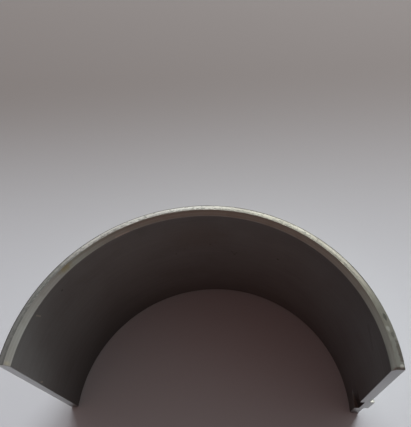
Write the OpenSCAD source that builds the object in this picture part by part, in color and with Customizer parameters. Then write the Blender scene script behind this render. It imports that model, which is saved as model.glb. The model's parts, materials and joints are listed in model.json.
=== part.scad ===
// Half shell of a split plain bearing for an engine, standing on its lower end.
// The bore's axis is Z, the joint faces lie in the plane Y = 0 and the crown is at +Y.
// The origin is on the axis at half width. Sizes are in millimetres.

/* [Shell] */
// Diameter of the back, which seats in the housing
back_d = 85; // [60:0.5:120]
// Thickness of the wall
wall = 2.5; // [2:0.1:4]
// Width along the axis
shell_w = 41.5; // [26:0.5:60]

/* [Edges] */
// Bevel between the bore and each end face, measured into the wall
bevel_in = 1.05; // [0.3:0.05:1.2]
// The same bevel, measured along the axis
bevel_w = 1.2; // [0.3:0.05:2]
// Edge break between the back and each end face
back_bevel = 0.2; // [0.1:0.05:0.5]
// Edge break between a joint face and the back, and between a joint face and each end face
joint_bevel = 0.1; // [0.1:0.05:0.5]

/* [Tang] */
// Length of the tang along the axis
tang_w = 6.8; // [5:0.1:10]
// Distance from the lower end face to the tang
tang_inset = 6.5; // [2:0.1:10]
// Height of the tang up the wall from the joint face
tang_h = 5.2; // [4:0.1:8]
// How far the wall is pushed out at the joint face
tang_push = 1.3; // [0.6:0.1:1.5]
// Step that is left between the tang's upper end and the back
tang_step = 0.35; // [0.1:0.05:0.6]
// Radius of the tang's two upper corners
tang_corner_r = 2.2; // [0.5:0.1:2.4]
// Web that stays on each side between the tang's side and its recess in the bore
tang_web = 0.25; // [0.1:0.05:0.6]

/* [Hidden] */
$fn = 180;

back_r = back_d / 2;
bore_r = back_r - wall;
half_w = shell_w / 2;
tang_z = tang_inset - half_w;

// How far the tang reaches into the wall that carries it
tang_root = wall / 2;
// How far a cutting shape runs past the surface that it opens
cut_over = 1;

metal = [0.64, 0.64, 0.61];

// Distance from the joint plane's normal through the axis to a circle of radius r, at height h
function across(r, h) = sqrt(r * r - h * h);

// Section of the wall, radius along X and axis along Y: bevelled at the bore, edge-broken at the back
module wall_section() {
    polygon([
        [bore_r, bevel_w - half_w],
        [bore_r + bevel_in, -half_w],
        [back_r - back_bevel, -half_w],
        [back_r, back_bevel - half_w],
        [back_r, half_w - back_bevel],
        [back_r - back_bevel, half_w],
        [bore_r + bevel_in, half_w],
        [bore_r, half_w - bevel_w],
    ]);
}

module half_ring() {
    rotate_extrude(angle = 180) wall_section();
}

// Triangular cut of one bevel, drawn in the corner of the first quadrant
module bevel_cut(size) {
    polygon([[-cut_over, -cut_over], [size + cut_over, -cut_over], [-cut_over, size + cut_over]]);
}

// Edge breaks round one joint face, at the side of the axis that side gives: 1 is +X, -1 is -X
module joint_edge_breaks(side) {
    mirror([side < 0 ? 1 : 0, 0, 0]) {
        // along the back
        translate([back_r, 0, -half_w - cut_over])
            mirror([1, 0, 0])
                linear_extrude(shell_w + 2 * cut_over) bevel_cut(joint_bevel);
        // along each end face
        for (end = [-1, 1])
            mirror([0, 0, end > 0 ? 1 : 0])
                translate([bore_r - cut_over, 0, -half_w])
                    rotate([90, 0, 90])
                        linear_extrude(wall + 2 * cut_over) bevel_cut(joint_bevel);
    }
}

// Outline of the tang on the wall: height from the joint face along X, axis along Y, inset all round by inset
module tang_outline(inset) {
    r = tang_corner_r - inset;
    top = tang_h - inset;
    low = tang_z + inset;
    high = tang_z + tang_w - inset;
    translate([-cut_over, low]) square([top - r + cut_over, high - low]);
    translate([0, low + r]) square([top, high - low - 2 * r]);
    for (y = [low + r, high - r]) translate([top - r, y]) circle(r);
}

// A profile across the axis, kept inside the tang's outline
module tang_solid(inset) {
    intersection() {
        translate([0, 0, tang_z + inset]) linear_extrude(tang_w - 2 * inset) children();
        translate([bore_r - wall, 0, 0])
            rotate([90, 0, 90])
                linear_extrude(3 * wall) tang_outline(inset);
    }
}

// The pushed-out wall as it stands on the back: a ramp, highest at the joint face
module tang_lug() {
    x_top = across(back_r, tang_h);
    tang_solid(0)
        polygon([
            [back_r - tang_root, 0],
            [back_r + tang_push, 0],
            [x_top + tang_step, tang_h],
            [x_top - tang_root, tang_h],
        ]);
}

// The hollow that the push leaves in the bore, deepest at the joint face
module tang_recess() {
    h = tang_h - tang_web;
    x_top = across(bore_r, h);
    tang_solid(tang_web)
        polygon([
            [bore_r - cut_over, -cut_over],
            [bore_r + tang_push, -cut_over],
            [bore_r + tang_push, 0],
            [x_top, h],
            [bore_r - cut_over, h],
        ]);
}

module bearing_shell() {
    color(metal)
        difference() {
            union() {
                difference() {
                    half_ring();
                    for (side = [-1, 1]) joint_edge_breaks(side);
                }
                tang_lug();
            }
            tang_recess();
        }
}

bearing_shell();
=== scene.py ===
"""Looks of a half bearing shell that stands on its lower end: its mesh, finishes, light and camera."""

import json
import math

import bmesh
import bpy
from mathutils import Matrix, Vector


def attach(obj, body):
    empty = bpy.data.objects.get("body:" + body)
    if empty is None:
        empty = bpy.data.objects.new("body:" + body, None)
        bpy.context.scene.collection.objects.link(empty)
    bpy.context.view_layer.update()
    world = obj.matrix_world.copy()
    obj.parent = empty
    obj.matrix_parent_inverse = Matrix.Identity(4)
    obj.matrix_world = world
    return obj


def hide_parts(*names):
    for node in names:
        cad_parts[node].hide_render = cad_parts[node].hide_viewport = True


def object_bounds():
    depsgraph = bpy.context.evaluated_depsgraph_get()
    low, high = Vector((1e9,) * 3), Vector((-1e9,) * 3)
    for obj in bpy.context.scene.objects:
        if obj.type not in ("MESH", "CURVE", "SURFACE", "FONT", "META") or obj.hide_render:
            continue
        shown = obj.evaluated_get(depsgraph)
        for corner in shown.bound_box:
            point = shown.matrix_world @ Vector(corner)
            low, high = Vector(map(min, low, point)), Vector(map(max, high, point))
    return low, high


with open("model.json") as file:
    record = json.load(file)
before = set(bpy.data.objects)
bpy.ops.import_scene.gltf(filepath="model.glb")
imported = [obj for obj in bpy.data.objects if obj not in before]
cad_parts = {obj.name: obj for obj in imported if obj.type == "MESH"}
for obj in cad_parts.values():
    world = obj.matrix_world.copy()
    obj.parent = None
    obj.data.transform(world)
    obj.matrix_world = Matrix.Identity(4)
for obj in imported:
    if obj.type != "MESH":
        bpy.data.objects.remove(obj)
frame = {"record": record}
cad_low, cad_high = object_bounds()

MM = 0.001
DEG = math.pi / 180


def mount(name):
    """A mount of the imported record, by its name."""
    return next(m for m in frame["record"]["mounts"] if m["name"] == name)


# Sizes that the frame gives
JOURNAL = mount("journal_seat")["dims"]
BORE_R = JOURNAL["r_mm"] * MM
BACK_R = -cad_low.x
MIDDLE_R = (BORE_R + BACK_R) / 2
HALF_W = cad_high.z
BEVEL_W = HALF_W - JOURNAL["length_mm"] * MM / 2
TANG_PUSH = cad_high.x - BACK_R
TANG_MID = mount("locating_tang")["pos_m"][2]
FLOOR_Z = cad_low.z

# Sizes of the edges and the tang that the frame doesn't give
BEVEL_IN = 1.05 * MM
# How much narrower the bevels are at the +X joint face, along the axis and into the wall
BEVEL_DRIFT = 0.17 * MM
BEVEL_DRIFT_IN = 0.25 * MM
BEVEL_DRIFT_FROM = 27 * MM
BACK_BREAK = 0.1 * MM
JOINT_BREAK = 0.08 * MM
EDGE_ROUND = 0.05 * MM
TANG_W = 6.8 * MM
TANG_H = 5.2 * MM
TANG_STEP = 0.35 * MM
TANG_CORNER_R = 2.2 * MM
TANG_SIDE = 0.1 * MM
# How much the tang narrows on each side for each unit of height
TANG_TAPER = 0.14
# The knocked corner where the upper end meets the +X joint face
KNOCK_DEPTH = 0.45 * MM
KNOCK_REACH = 0.55 * MM
# Radii where the dent starts and where it is deepest, and the share of its depth lost at the back
KNOCK_FROM = BORE_R + 0.5 * BEVEL_IN
KNOCK_DEEPEST = BORE_R + 1.1 * BEVEL_IN
KNOCK_LOST = 0.8

# Fineness of the mesh: a fine patch round the tang, and a plain grid elsewhere
PATCH_MARGIN = 0.5 * MM
PATCH_ROWS = 78
PATCH_ANGLE = 8.4 * DEG
PATCH_STEPS = 56
PLAIN_ROWS = 30
PLAIN_STEPS = 132
# How near to a plane a point counts as on it
ON_PLANE = 1e-7
# A face belongs to a joint face where its normal leans at least this far to the open side
JOINT_LEAN = -0.5
# Share of the tang's cover from which the wall counts as fully pressed
FULLY_PRESSED = 0.3

# Order of the finishes in the piece's material slots
LINING, BEVEL, END_FACE, JOINT_FACE, BACK = range(5)


def smooth_step(low, high, value):
    """0 up to low, 1 from high on, and a smooth rise between them."""
    share = min(1.0, max(0.0, (value - low) / (high - low)))
    return share * share * (3 - 2 * share)


def add_object(name, data):
    """Puts a new object in the scene, at the origin."""
    made = bpy.data.objects.new(name, data)
    bpy.context.scene.collection.objects.link(made)
    return made


def add_mesh(name, bm):
    """Puts a finished bmesh in the scene as an object."""
    mesh = bpy.data.meshes.new(name)
    bm.to_mesh(mesh)
    bm.free()
    return add_object(name, mesh)


def cut_rows(bm, low, high, count):
    """Splits the section's long edges at evenly spaced heights."""
    for i in range(count + 1):
        height = low + (high - low) * i / count
        bmesh.ops.bisect_plane(
            bm, geom=list(bm.verts) + list(bm.edges), dist=ON_PLANE,
            plane_co=(0, 0, height), plane_no=(0, 0, 1),
        )


def wall_section(bm):
    """The loop of edges round the wall's section, in the plane of the +X joint face."""
    upper = [
        (BORE_R, HALF_W - BEVEL_W),
        (BORE_R + BEVEL_IN, HALF_W),
        (BACK_R - BACK_BREAK, HALF_W),
        (BACK_R, HALF_W - BACK_BREAK),
    ]
    outline = upper + [(r, -z) for r, z in reversed(upper)]
    corners = [bm.verts.new((r, 0, z)) for r, z in outline]
    bmesh.ops.contextual_create(bm, geom=corners)
    bmesh.ops.bevel(
        bm, geom=corners, affect="VERTICES", offset=EDGE_ROUND, offset_type="OFFSET",
        segments=2, profile=0.5, material=-1,
    )
    bmesh.ops.delete(bm, geom=list(bm.faces), context="FACES_ONLY")
    reach = HALF_W - BEVEL_W - 2 * EDGE_ROUND
    patch_low = TANG_MID - TANG_W / 2 - PATCH_MARGIN
    patch_high = TANG_MID + TANG_W / 2 + PATCH_MARGIN
    cut_rows(bm, patch_low, patch_high, PATCH_ROWS)
    cut_rows(bm, patch_high, reach, PLAIN_ROWS)
    return list(bm.verts) + list(bm.edges)


def sweep(bm, geom, angle, steps):
    """Turns a loop about the bore's axis and gives the loop that it ends at."""
    turned = bmesh.ops.spin(bm, geom=geom, cent=(0, 0, 0), axis=(0, 0, 1), angle=angle, steps=steps)
    return turned["geom_last"]


def close_joint(bm, geom):
    """Fills a loop of edges with one flat joint face."""
    edges = [e for e in geom if isinstance(e, bmesh.types.BMEdge)]
    return bmesh.ops.edgeloop_fill(bm, edges=edges)["faces"]


def round_joint_edges(bm, joints):
    """Breaks every edge round the two joint faces."""
    edges = [e for face in joints for e in face.edges]
    bmesh.ops.bevel(
        bm, geom=edges, affect="EDGES", offset=JOINT_BREAK, offset_type="OFFSET",
        segments=2, profile=0.5, material=-1,
    )


def finish_of(face):
    """Which finish a face of the shell has, from where it lies."""
    centre = face.calc_center_median()
    radius = math.hypot(centre.x, centre.y)
    if face.normal.y < JOINT_LEAN and centre.y < JOINT_BREAK:
        return JOINT_FACE
    if abs(centre.z) > HALF_W - BACK_BREAK and radius > BORE_R + BEVEL_IN:
        return END_FACE
    if abs(centre.z) > HALF_W - BEVEL_W and radius < BORE_R + BEVEL_IN:
        return BEVEL
    return BACK if radius > MIDDLE_R else LINING


def drift_bevels(bm):
    """Makes both bevels narrower towards the +X joint face, as they were cut."""
    near = 2 * EDGE_ROUND
    for v in bm.verts:
        radius = math.hypot(v.co.x, v.co.y)
        below = HALF_W - abs(v.co.z)
        if radius < BORE_R + near and abs(below - BEVEL_W) < near:
            v.co.z += math.copysign(BEVEL_DRIFT, v.co.z) * (BORE_R + v.co.x) / (2 * BORE_R)
        if v.co.x > 0 and below < near and abs(radius - BORE_R - BEVEL_IN) < near:
            inward = BEVEL_DRIFT_IN * smooth_step(BEVEL_DRIFT_FROM, 0, v.co.y)
            v.co.xy *= 1 - inward / radius


def knock_corner(bm):
    """Dents the upper end's edge at the +X joint face, most in the middle of the wall."""
    low = HALF_W - BACK_BREAK - KNOCK_REACH
    for v in bm.verts:
        if v.co.x < 0 or v.co.z < low or v.co.y > KNOCK_REACH:
            continue
        along = 1 - smooth_step(0, KNOCK_REACH, v.co.y)
        rising = smooth_step(KNOCK_FROM, KNOCK_DEEPEST, v.co.x)
        outward = rising * (1 - KNOCK_LOST * smooth_step(KNOCK_DEEPEST, BACK_R, v.co.x))
        down = smooth_step(low, HALF_W, v.co.z)
        v.co.z -= KNOCK_DEPTH * along * outward * down


def tang_cover(height, along):
    """How far a point of the wall belongs to the tang: 1 inside its rounded outline, 0 outside."""
    across = abs(along - TANG_MID) - (TANG_W / 2 - TANG_TAPER * height - TANG_CORNER_R)
    above = height - (TANG_H - TANG_CORNER_R)
    outside = math.hypot(max(across, 0), max(above, 0)) + min(max(across, above), 0) - TANG_CORNER_R
    if height < TANG_H - TANG_CORNER_R:
        outside = across - TANG_CORNER_R
    return 1 - smooth_step(-TANG_SIDE, TANG_SIDE, outside)


def press_tang(bm):
    """Pushes the wall out at the foot of the +X joint face, most at the joint face itself."""
    pressed = bm.verts.layers.float.new("pressed")
    for v in bm.verts:
        if v.co.x < 0 or v.co.y > TANG_H + PATCH_MARGIN:
            continue
        top_push = TANG_STEP if math.hypot(v.co.x, v.co.y) > MIDDLE_R else 0
        share = min(1.0, max(0.0, v.co.y / TANG_H))
        cover = tang_cover(v.co.y, v.co.z)
        v.co.x += (TANG_PUSH + (top_push - TANG_PUSH) * share) * cover
        v[pressed] = smooth_step(0, FULLY_PRESSED, cover) * (1 - share)


def make_shell():
    """The whole shell as one closed mesh."""
    bm = bmesh.new()
    start = wall_section(bm)
    patch_end = sweep(bm, start, PATCH_ANGLE, PATCH_STEPS)
    end = sweep(bm, patch_end, math.pi - PATCH_ANGLE, PLAIN_STEPS)
    joints = close_joint(bm, start) + close_joint(bm, end)
    bmesh.ops.recalc_face_normals(bm, faces=bm.faces)
    round_joint_edges(bm, joints)
    for face in bm.faces:
        face.smooth = True
        face.material_index = finish_of(face)
    drift_bevels(bm)
    knock_corner(bm)
    press_tang(bm)
    bmesh.ops.recalc_face_normals(bm, faces=bm.faces)
    shell = add_mesh("shell_wall", bm)
    shell.modifiers.new("flat_faces", "WEIGHTED_NORMAL")
    return shell


# Finishes

# Depth of the fine relief that each tool left, and of the crust of a rusty speck
BORING_DEPTH = 0.012 * MM
TURNING_DEPTH = 0.008 * MM
BROACHING_DEPTH = 0.008 * MM
RUST_DEPTH = 0.02 * MM
# Fineness of a ragged mark's edge, and the share of a scratch's half width at full strength
RAGGED_PER_MM = (1.3, 1.3)
SCRATCH_CORE = 0.4
# Places of the two colours and of the blended one among a Mix node's sockets
MIX_A, MIX_B, MIX_RESULT = 6, 7, 2


def around_axis():
    """A node group with a point's place on the shell in millimetres: on the wall, on an end, and plain."""
    group = bpy.data.node_groups.new("around_axis", "ShaderNodeTree")
    for name in ("Wall", "End", "Plain"):
        group.interface.new_socket(name, in_out="OUTPUT", socket_type="NodeSocketVector")
    nodes, links = group.nodes, group.links

    def step(kind, operation, a, b=None):
        node = nodes.new(kind)
        node.operation = operation
        links.new(a, node.inputs[0])
        if isinstance(b, bpy.types.NodeSocket):
            links.new(b, node.inputs[1])
        elif b is not None:
            node.inputs[1].default_value = b
        return node

    def sheet(along, across, name):
        node = nodes.new("ShaderNodeCombineXYZ")
        links.new(along, node.inputs[0])
        links.new(across, node.inputs[1])
        links.new(node.outputs[0], out.inputs[name])

    out = nodes.new("NodeGroupOutput")
    place = nodes.new("ShaderNodeTexCoord").outputs["Object"]
    plain = step("ShaderNodeVectorMath", "MULTIPLY", place, (1 / MM, 1 / MM, 1 / MM)).outputs[0]
    split = nodes.new("ShaderNodeSeparateXYZ")
    links.new(plain, split.inputs[0])
    x, y, z = split.outputs
    angle = step("ShaderNodeMath", "ARCTAN2", y, x).outputs[0]
    arc = step("ShaderNodeMath", "MULTIPLY", angle, BORE_R / MM).outputs[0]
    flat = step("ShaderNodeVectorMath", "MULTIPLY", plain, (1, 1, 0)).outputs[0]
    radius = step("ShaderNodeVectorMath", "LENGTH", flat).outputs["Value"]
    sheet(arc, z, "Wall")
    sheet(arc, radius, "End")
    links.new(plain, out.inputs["Plain"])
    return group


AROUND_AXIS = around_axis()


class Finish:
    """A finish in the making: its shader, and a sheet of the shell's own coordinates to draw on.

    The sheet's first number is the arc along the bore from the +X joint face. Its second is the
    height on the axis on the Wall sheet, and the radius on the End sheet.
    """

    def __init__(self, name, sheet, metallic=1):
        self.material = bpy.data.materials.new(name)
        self.material.use_nodes = True
        self.nodes = self.material.node_tree.nodes
        self.links = self.material.node_tree.links
        self.shader = self.nodes["Principled BSDF"]
        self.shader.inputs["Metallic"].default_value = metallic
        places = self.nodes.new("ShaderNodeGroup")
        places.node_tree = AROUND_AXIS
        self.sheet = places.outputs[sheet]

    def feed(self, socket, value):
        """Links a node's output to a socket, or sets a plain value on it."""
        if isinstance(value, bpy.types.NodeSocket):
            self.links.new(value, socket)
        elif isinstance(value, tuple) and socket.type == "RGBA":
            socket.default_value = (*value, 1)
        else:
            socket.default_value = value

    def math(self, operation, a, b):
        """One step of arithmetic."""
        node = self.nodes.new("ShaderNodeMath")
        node.operation = operation
        self.feed(node.inputs[0], a)
        self.feed(node.inputs[1], b)
        return node.outputs[0]

    def vector(self, operation, a, b=(0, 0, 0), output=0):
        """One step of arithmetic on places."""
        node = self.nodes.new("ShaderNodeVectorMath")
        node.operation = operation
        self.feed(node.inputs[0], a)
        self.feed(node.inputs[1], b)
        return node.outputs[output]

    def rise(self, value, low, high, start=0.0, end=1.0):
        """Goes smoothly from start to end while value goes from low to high."""
        node = self.nodes.new("ShaderNodeMapRange")
        node.interpolation_type = "SMOOTHSTEP"
        for socket, number in zip(node.inputs, (value, low, high, start, end)):
            self.feed(socket, number)
        return node.outputs[0]

    def part(self, axis):
        """One number of the sheet."""
        node = self.nodes.new("ShaderNodeSeparateXYZ")
        self.feed(node.inputs[0], self.sheet)
        return node.outputs[axis]

    def angle(self):
        """Degrees about the axis from the +X joint face."""
        return self.math("DIVIDE", self.part("X"), DEG * BORE_R / MM)

    def pressed(self):
        """How far the wall is pressed out there: 1 at the foot of the tang, 0 off it."""
        node = self.nodes.new("ShaderNodeAttribute")
        node.attribute_name = "pressed"
        return node.outputs["Fac"]

    def grain(self, per_mm, detail=3.0, roughness=0.55):
        """Noise from 0 to 1, with its own fineness along and across the sheet."""
        node = self.nodes.new("ShaderNodeTexNoise")
        self.feed(node.inputs["Vector"], self.vector("MULTIPLY", self.sheet, (*per_mm, per_mm[-1])))
        node.inputs["Scale"].default_value = 1
        node.inputs["Detail"].default_value = detail
        node.inputs["Roughness"].default_value = roughness
        return node.outputs[0]

    def blend(self, share, a, b):
        """One colour going over to another."""
        node = self.nodes.new("ShaderNodeMix")
        node.data_type = "RGBA"
        self.feed(node.inputs[0], share)
        self.feed(node.inputs[MIX_A], a)
        self.feed(node.inputs[MIX_B], b)
        return node.outputs[MIX_RESULT]

    def at(self, angle, across):
        """A place on the sheet, from degrees about the axis."""
        return (angle * DEG * BORE_R / MM, across, 0)

    def spot(self, centre, reach, strength=1.0, ragged=0.0, soft=0.5):
        """A mark: strength in its middle, 0 past its reach along and across the sheet."""
        away = self.vector("SUBTRACT", self.sheet, self.at(*centre))
        far = self.vector("LENGTH", self.vector("DIVIDE", away, (*reach, 1)), output="Value")
        if ragged:
            rough = self.math("SUBTRACT", self.grain(RAGGED_PER_MM), 0.5)
            far = self.math("ADD", far, self.math("MULTIPLY", rough, ragged))
        return self.rise(far, 1.0, 1.0 - soft, 0.0, strength)

    def scratch(self, start, end, width, strength):
        """A straight thin mark from one place to another, width to each side of its middle."""
        a = Vector(self.at(*start))
        run = Vector(self.at(*end)) - a
        away = self.vector("SUBTRACT", self.sheet, tuple(a))
        share = self.vector("DOT_PRODUCT", away, tuple(run), output="Value")
        share = self.math("DIVIDE", share, run.length_squared)
        share = self.math("MINIMUM", self.math("MAXIMUM", share, 0.0), 1.0)
        along = self.nodes.new("ShaderNodeVectorMath")
        along.operation = "SCALE"
        along.inputs[0].default_value = run
        self.feed(along.inputs["Scale"], share)
        far = self.vector("LENGTH", self.vector("SUBTRACT", away, along.outputs[0]), output="Value")
        return self.rise(far, width, width * SCRATCH_CORE, 0.0, strength)

    def end(self, colour, roughness, relief=None, depth=0.0):
        """Feeds the shader, with the depth that the relief has from 0 to 1, and gives the material."""
        self.feed(self.shader.inputs["Base Color"], colour)
        self.feed(self.shader.inputs["Roughness"], roughness)
        if relief is not None:
            node = self.nodes.new("ShaderNodeBump")
            node.inputs["Distance"].default_value = depth
            self.feed(node.inputs["Height"], relief)
            self.feed(self.shader.inputs["Normal"], node.outputs[0])
        return self.material


def lining_finish():
    """The matte grey lining of the bore, with faint boring streaks, a stain, specks, scratches and painted
    shade.
    """
    f = Finish("lining", "Wall", metallic=0.7)
    streaks = f.grain((0.03, 1.1), detail=4)
    clouds = f.grain((0.09, 0.12), detail=4)
    angle = f.angle()
    # Warm grey at the crown and cooler towards both joint faces
    colour = f.blend(f.rise(angle, 170, 120), (0.282, 0.292, 0.288), (0.29, 0.278, 0.264))
    colour = f.blend(f.rise(angle, 60, 12), colour, (0.252, 0.274, 0.281))
    colour = f.blend(f.rise(streaks, 0.3, 0.7, 0.0, 0.14), colour, (0.2, 0.19, 0.18))
    colour = f.blend(f.rise(clouds, 0.4, 0.75, 0.0, 0.3), colour, (0.19, 0.175, 0.165))
    # Painted shade: darker towards the lower end, most at the sides, and a little darker at the upper end
    # and next to the +X joint face
    height = f.part("Y")
    sides = f.math("ADD", f.rise(angle, 95, 150, 0.3, 1.0), f.rise(angle, 45, 15, 0.0, 0.3))
    painted_shade = f.math("MULTIPLY", sides, f.rise(height, 8, -19, 0.0, 0.63))
    painted_shade = f.math("ADD", painted_shade, f.rise(height, -11, -19, 0.0, 0.15))
    upper_end_shade = f.math("MULTIPLY", f.rise(height, 12, 19, 0.0, 0.18), f.rise(angle, 135, 115))
    painted_shade = f.math("ADD", painted_shade, f.math("ADD", upper_end_shade, f.rise(angle, 15, 1, 0.0, 0.32)))
    colour = f.blend(painted_shade, colour, (0.09, 0.087, 0.084))
    # A brown stain at the crown and the pale line where it dried
    colour = f.blend(f.spot((94, 11), (14, 9), 0.3, ragged=0.9, soft=0.9), colour, (0.2, 0.15, 0.115))
    colour = f.blend(f.scratch((104, 4.2), (83, 3.4), 0.5, 0.2), colour, (0.36, 0.32, 0.3))
    # Dark specks and smears, and light scratches
    dark = (0.08, 0.075, 0.07)
    for centre, reach in (
        ((149, 16.2), (0.4, 0.35)), ((103.5, 4.0), (0.3, 0.3)),
        ((89, 7.0), (0.3, 0.3)), ((61, 6.6), (0.45, 0.5)),
    ):
        colour = f.blend(f.spot(centre, reach, 0.6), colour, dark)
    for start, end, width, strength in (
        ((80.5, 4.2), (79.3, 2.6), 0.35, 0.25), ((79.3, 2.6), (78.3, 4.0), 0.3, 0.25),
        ((17, 15), (11, 12), 0.8, 0.22), ((58, 3.4), (46, 2.6), 0.3, 0.12),
    ):
        colour = f.blend(f.scratch(start, end, width, strength), colour, dark)
    pale = (0.5, 0.46, 0.4)
    for start, end, width in (((161.3, 18.3), (160.6, 16.9), 0.28), ((179.2, 5.4), (178.8, 4.6), 0.3)):
        colour = f.blend(f.scratch(start, end, width, 0.8), colour, pale)
    # Painted shade in the hollow behind the tang
    colour = f.blend(f.rise(f.pressed(), 0.25, 0.6), colour, (0.07, 0.062, 0.058))
    return f.end(colour, f.rise(streaks, 0.2, 0.8, 0.36, 0.44), streaks, BORING_DEPTH)


def bevel_finish():
    """The turned bevel, with fine grooves along it, a dirty outer edge, two rusty stains and a nick."""
    f = Finish("bore_bevel", "End")
    grooves = f.grain((0.012, 5.0))
    patches = f.grain((0.3, 1.0))
    angle = f.angle()
    # Bright at the crown, and duller in steps towards both joint faces
    groove = f.rise(grooves, 0.25, 0.75)
    colour = f.blend(groove, (0.43, 0.5, 0.463), (0.5, 0.585, 0.545))
    for bright_at, dull_at, low, high in (
        (138, 150, (0.392, 0.412, 0.4), (0.456, 0.48, 0.467)),
        (166, 180, (0.312, 0.313, 0.297), (0.364, 0.365, 0.348)),
        (60, 5, (0.315, 0.335, 0.315), (0.37, 0.395, 0.375)),
    ):
        colour = f.blend(f.rise(angle, bright_at, dull_at), colour, f.blend(groove, low, high))
    colour = f.blend(f.rise(patches, 0.5, 0.75, 0.0, 0.35), colour, (0.29, 0.29, 0.255))
    # The dirty outer edge and the rusty stains
    dark_edge = f.math("MULTIPLY", f.rise(f.part("Y"), 40.55, 40.85, 0.0, 0.2), f.rise(angle, 152, 142))
    colour = f.blend(f.math("MULTIPLY", dark_edge, f.rise(angle, 8, 20)), colour, (0.2, 0.175, 0.13))
    colour = f.blend(f.spot((143, 40.7), (2.6, 0.8), 0.6, ragged=0.9, soft=0.8), colour, (0.38, 0.35, 0.18))
    colour = f.blend(f.spot((179.2, 40.6), (0.8, 0.7), 0.3, ragged=0.5, soft=0.9), colour, (0.55, 0.5, 0.34))
    # A pale nicked line along the bore's edge
    colour = f.blend(f.scratch((122.8, 40.1), (117.6, 40.05), 0.22, 0.45), colour, (0.75, 0.72, 0.65))
    return f.end(colour, f.rise(grooves, 0.2, 0.8, 0.3, 0.4), grooves, TURNING_DEPTH)


def end_face_finish():
    """The turned end face: bright and mottled towards the crown, tarnished towards both joint faces."""
    f = Finish("end_face", "End", metallic=0.75)
    mottle = f.grain((0.9, 2.1), detail=5, roughness=0.65)
    streaks = f.grain((0.14, 4.0), detail=4)
    angle = f.angle()
    radius = f.part("Y")
    # Streaks from turning, warmer at the +X side
    streak = f.rise(streaks, 0.3, 0.7)
    cool = f.blend(streak, (0.322, 0.328, 0.306), (0.566, 0.578, 0.548))
    warm = f.blend(streak, (0.306, 0.301, 0.245), (0.538, 0.543, 0.46))
    colour = f.blend(f.rise(angle, 105, 60), cool, warm)
    # The outer half stayed brighter, and dull patches gather at the inner edge
    colour = f.blend(f.rise(radius, 41.4, 42.0, 0.0, 0.1), colour, (0.9, 0.92, 0.86))
    dull = f.math("ADD", mottle, f.rise(radius, 41.9, 41.2, -0.05, 0.06))
    patches = f.rise(dull, 0.46, 0.58, 0.0, 0.85)
    crown = f.math("MULTIPLY", f.rise(angle, 20, 36), f.rise(angle, 146, 134))
    colour = f.blend(f.math("MULTIPLY", patches, crown), colour, (0.16, 0.165, 0.146))
    colour = f.blend(f.spot((135, 41.8), (6.4, 0.9), 0.3, ragged=0.8), colour, (0.75, 0.77, 0.73))
    # Handled and tarnished towards both joint faces, with a lighter outer half at the -X side
    colour = f.blend(f.rise(angle, 131, 151, 0.0, 0.8), colour, (0.25, 0.281, 0.262))
    colour = f.blend(f.rise(angle, 154, 168, 0.0, 0.5), colour, (0.28, 0.314, 0.318))
    outer = f.math("MULTIPLY", f.rise(radius, 41.5, 42.0, 0.0, 0.6), f.rise(angle, 147, 163))
    colour = f.blend(outer, colour, (0.288, 0.318, 0.32))
    handled = f.rise(angle, 130, 142)
    blotches = f.math("MULTIPLY", f.rise(dull, 0.44, 0.56, 0.0, 0.45), handled)
    colour = f.blend(blotches, colour, (0.12, 0.131, 0.134))
    flecks = f.math("MULTIPLY", f.rise(mottle, 0.5, 0.38, 0.0, 0.6), f.rise(angle, 172, 150))
    colour = f.blend(f.math("MULTIPLY", flecks, handled), colour, (0.47, 0.51, 0.508))
    colour = f.blend(f.rise(angle, 37, 18, 0.0, 0.85), colour, (0.152, 0.162, 0.141))
    colour = f.blend(f.rise(angle, 13, 7, 0.0, 0.8), colour, (0.238, 0.26, 0.239))
    # Dark and light patches, and a light burr beside the dented corner
    for centre, reach, patch in (
        ((5.0, 42.2), (3.0, 0.6), (0.1, 0.093, 0.08)), ((15.9, 41.78), (1.1, 0.42), (0.07, 0.075, 0.064)),
        ((10.2, 41.85), (0.9, 0.4), (0.12, 0.128, 0.112)), ((12.1, 41.35), (0.9, 0.45), (0.34, 0.37, 0.34)),
        ((1.0, 41.9), (0.5, 0.5), (0.5, 0.54, 0.5)),
    ):
        colour = f.blend(f.spot(centre, reach, 0.8, ragged=1.0), colour, patch)
    # Painted shade: the outer edge and its edge break darkened almost to black, away from the +X joint face
    dark_edge = f.math("MULTIPLY", f.rise(radius, 42.16, 42.32, 0.0, 0.97), f.rise(angle, 17, 28))
    colour = f.blend(dark_edge, colour, (0.05, 0.05, 0.045))
    relief = f.math("SUBTRACT", streaks, mottle)
    return f.end(colour, f.rise(mottle, 0.35, 0.7, 0.28, 0.4), relief, TURNING_DEPTH)


def joint_face_finish():
    """The cut joint faces: smooth grey with faint streaks, and painted shade at their lower ends."""
    f = Finish("joint_face", "Plain")
    streaks = f.grain((3.0, 0.08))
    height = f.part("Z")
    colour = f.blend(f.rise(streaks, 0.3, 0.7), (0.43, 0.43, 0.425), (0.545, 0.545, 0.54))
    # The face with the tang is duller, most at its upper end
    dull = f.math("MULTIPLY", f.rise(height, 6, 20, 0.2, 0.6), f.rise(f.part("X"), -20, 20))
    colour = f.blend(dull, colour, (0.28, 0.275, 0.272))
    # Painted shade at the lower ends, next to the floor
    colour = f.blend(f.rise(height, -15, -18.5, 0.0, 0.5), colour, (0.1, 0.09, 0.085))
    return f.end(colour, f.rise(streaks, 0.2, 0.8, 0.34, 0.44), streaks, BROACHING_DEPTH)


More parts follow.
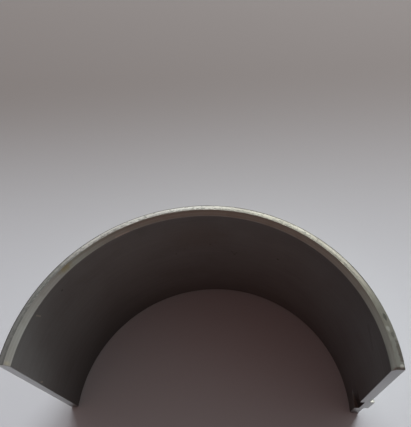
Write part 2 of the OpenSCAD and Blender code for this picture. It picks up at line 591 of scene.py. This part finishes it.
def back_finish():
    """The plated back: satin silver with rust and dark dashes towards the joint faces, and light ticks."""
    f = Finish("back", "Wall")
    clouds = f.grain((0.08, 0.08), detail=4)
    specks = f.grain((1.1, 1.4), detail=4, roughness=0.65)
    angle = f.angle()
    colour = f.blend(clouds, (0.61, 0.625, 0.57), (0.68, 0.695, 0.635))
    # Rusty stains at the ends, and specks that gather there and towards the joint faces
    gathered = f.math("ADD", f.rise(angle, 48, 18, 0.0, 0.1), f.rise(angle, 132, 162, 0.0, 0.1))
    for centre, reach in (
        ((21, 18), (5.5, 6)), ((19, -18.5), (4, 4)), ((157, 17), (4.5, 4.5)), ((151, -18.5), (4, 3.5)),
    ):
        stain = f.spot(centre, reach, ragged=0.9, soft=0.9)
        colour = f.blend(f.math("MULTIPLY", stain, 0.34), colour, (0.42, 0.345, 0.22))
        gathered = f.math("ADD", gathered, f.math("MULTIPLY", stain, 0.07))
    rust = f.rise(f.math("ADD", specks, gathered), 0.7, 0.8, 0.0, 0.75)
    colour = f.blend(rust, colour, (0.28, 0.19, 0.11))
    # Broken dark dashes in rows along the axis
    broken = f.rise(specks, 0.42, 0.52)
    for start, end in (
        ((20.2, 7.4), (20, 2.4)), ((18.1, 11.2), (18.3, 6.4)),
        ((20, -6.6), (20.1, -9)), ((152, 9), (152.3, 5)),
    ):
        dashes = f.math("MULTIPLY", f.scratch(start, end, 0.3, 0.5), broken)
        colour = f.blend(dashes, colour, (0.2, 0.15, 0.1))
    # Light ticks
    for start, end, width in (
        ((22.1, 7.8), (21.6, 7.4), 0.25), ((18.2, -6.9), (18.7, -7.9), 0.3),
        ((8.8, 9.5), (9.3, 8.8), 0.28), ((13.8, 15), (13.4, 14.5), 0.22),
        ((14.3, 13.8), (14.2, 13.6), 0.2), ((13.6, 8.2), (13.5, 8), 0.2),
        ((12.8, -3.1), (12.6, -3.4), 0.22), ((14.2, -7), (14.2, -7.2), 0.18),
        ((11.9, -9.4), (11.5, -9.8), 0.22), ((12.1, -13.3), (12, -13.8), 0.22),
        ((40, -9), (39.4, -8.2), 0.22), ((158, 6), (157, 6.5), 0.22),
        ((149, -12), (148.3, -11.5), 0.22), ((166, -3), (165.5, -2.5), 0.22),
        ((141, 13), (140.4, 13.5), 0.22),
    ):
        colour = f.blend(f.scratch(start, end, width, 0.8), colour, (0.86, 0.85, 0.78))
    # The pressed tang is rougher and duller
    pressed = f.pressed()
    colour = f.blend(f.rise(pressed, 0.05, 0.3, 0.0, 0.6), colour, (0.46, 0.47, 0.43))
    roughness = f.math("ADD", f.rise(clouds, 0.3, 0.7, 0.37, 0.41), f.rise(pressed, 0.05, 0.3, 0.0, 0.08))
    return f.end(colour, roughness, rust, RUST_DEPTH)


shell = make_shell()
for finish in (lining_finish, bevel_finish, end_face_finish, joint_face_finish, back_finish):
    shell.data.materials.append(finish())
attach(shell, "root")
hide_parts("bearing_shell")


# Floor, light and camera
FLOOR_REACH = 1.4
FLOOR_ROUGHNESS = 0.85
FLOOR_NEAR = (0.515, 0.545, 0.588)
# The floor's colour in painted shade, far behind the shell
FLOOR_SHADED_FAR = (0.18, 0.165, 0.16)
# How far behind the bore's axis the shade painted on the floor starts and ends
FLOOR_SHADE_MM = (10, 160)

# The window stands upright behind the crown; its edges are seen from the shell at these angles
WINDOW_AWAY = 1.5
WINDOW_LOW = 15 * DEG
WINDOW_HIGH = 42 * DEG
# Left edge, right edge and radiance of each pane
WINDOW_PANES = ((-32 * DEG, 14 * DEG, 6.6), (14 * DEG, 37 * DEG, 17.0))
# The room's light gets brighter in one direction, from where it is dimmest
ROOM_DIM = (0.145, 0.082, 0.072)
ROOM_BRIGHT = (0.89, 0.93, 0.89)
ROOM_TOWARDS = (0.3, 0.75, -1.0)
ROOM_DIMMEST = -0.9

VIEW_AZIMUTH = 10.87 * DEG
VIEW_ELEVATION = 61.94 * DEG
VIEW_ROLL = -9.88 * DEG
VIEW_DISTANCE = 114.61 * MM
VIEW_TARGET = Vector((2.27, 27.67, 0.5)) * MM
SENSOR = 36.0
LENS = 34.43
# The picture's size, and where the lens's axis meets it, in pixels
FRAME_W = 411
FRAME_H = 427
AXIS_X = 215.9
AXIS_Y = 293.8


def make_floor():
    """A pale floor under the shell, with shade painted on towards the far side."""
    bm = bmesh.new()
    bmesh.ops.create_grid(bm, x_segments=1, y_segments=1, size=FLOOR_REACH)
    bmesh.ops.translate(bm, verts=bm.verts, vec=(0, 0, FLOOR_Z))
    floor = add_mesh("floor", bm)
    f = Finish("floor_paper", "Plain", metallic=0)
    far_shade = f.rise(f.part("Y"), *FLOOR_SHADE_MM)
    floor.data.materials.append(f.end(f.blend(far_shade, FLOOR_NEAR, FLOOR_SHADED_FAR), FLOOR_ROUGHNESS))


def make_window():
    """The main light: a wide soft window of two panes behind the crown."""
    low, high = (WINDOW_AWAY * math.tan(a) for a in (WINDOW_LOW, WINDOW_HIGH))
    for left_angle, right_angle, radiance in WINDOW_PANES:
        left, right = (WINDOW_AWAY * math.tan(a) for a in (left_angle, right_angle))
        data = bpy.data.lights.new("window", "AREA")
        data.shape = "RECTANGLE"
        data.size = right - left
        data.size_y = high - low
        data.energy = radiance * math.pi * data.size * data.size_y
        light = add_object("window", data)
        light.location = ((left + right) / 2, WINDOW_AWAY, FLOOR_Z + (low + high) / 2)
        light.rotation_euler = (-90 * DEG, 0, 0)


def make_room_light():
    """The weak light that the room gives back, dim and warm from above and in front."""
    world = bpy.data.worlds.new("room")
    bpy.context.scene.world = world
    world.use_nodes = True
    nodes, links = world.node_tree.nodes, world.node_tree.links
    towards = nodes.new("ShaderNodeVectorMath")
    towards.operation = "DOT_PRODUCT"
    towards.inputs[1].default_value = ROOM_TOWARDS
    share = nodes.new("ShaderNodeMapRange")
    share.inputs["From Min"].default_value = ROOM_DIMMEST
    mix = nodes.new("ShaderNodeMix")
    mix.data_type = "RGBA"
    mix.inputs[MIX_A].default_value = (*ROOM_DIM, 1)
    mix.inputs[MIX_B].default_value = (*ROOM_BRIGHT, 1)
    links.new(nodes.new("ShaderNodeTexCoord").outputs["Generated"], towards.inputs[0])
    links.new(towards.outputs["Value"], share.inputs["Value"])
    links.new(share.outputs[0], mix.inputs[0])
    links.new(mix.outputs[MIX_RESULT], nodes["Background"].inputs["Color"])


def make_camera():
    """The close view from above the open side, turned a little about its own axis."""
    data = bpy.data.cameras.new("camera")
    data.sensor_width = SENSOR
    data.lens = LENS
    data.shift_x = (FRAME_W / 2 - AXIS_X) / max(FRAME_W, FRAME_H)
    data.shift_y = (AXIS_Y - FRAME_H / 2) / max(FRAME_W, FRAME_H)
    data.clip_start = 1 * MM
    back = Vector((
        math.sin(VIEW_AZIMUTH) * math.cos(VIEW_ELEVATION),
        -math.cos(VIEW_AZIMUTH) * math.cos(VIEW_ELEVATION),
        math.sin(VIEW_ELEVATION),
    ))
    right = Vector((math.cos(VIEW_AZIMUTH), math.sin(VIEW_AZIMUTH), 0))
    up = back.cross(right)
    turned_right = right * math.cos(VIEW_ROLL) + up * math.sin(VIEW_ROLL)
    turned_up = up * math.cos(VIEW_ROLL) - right * math.sin(VIEW_ROLL)
    camera = add_object("camera", data)
    axes = Matrix((turned_right, turned_up, back)).transposed()
    camera.matrix_world = Matrix.Translation(VIEW_TARGET + back * VIEW_DISTANCE) @ axes.to_4x4()
    bpy.context.scene.camera = camera


make_floor()
make_window()
make_room_light()
make_camera()
bpy.context.scene.view_settings.view_transform = "Standard"
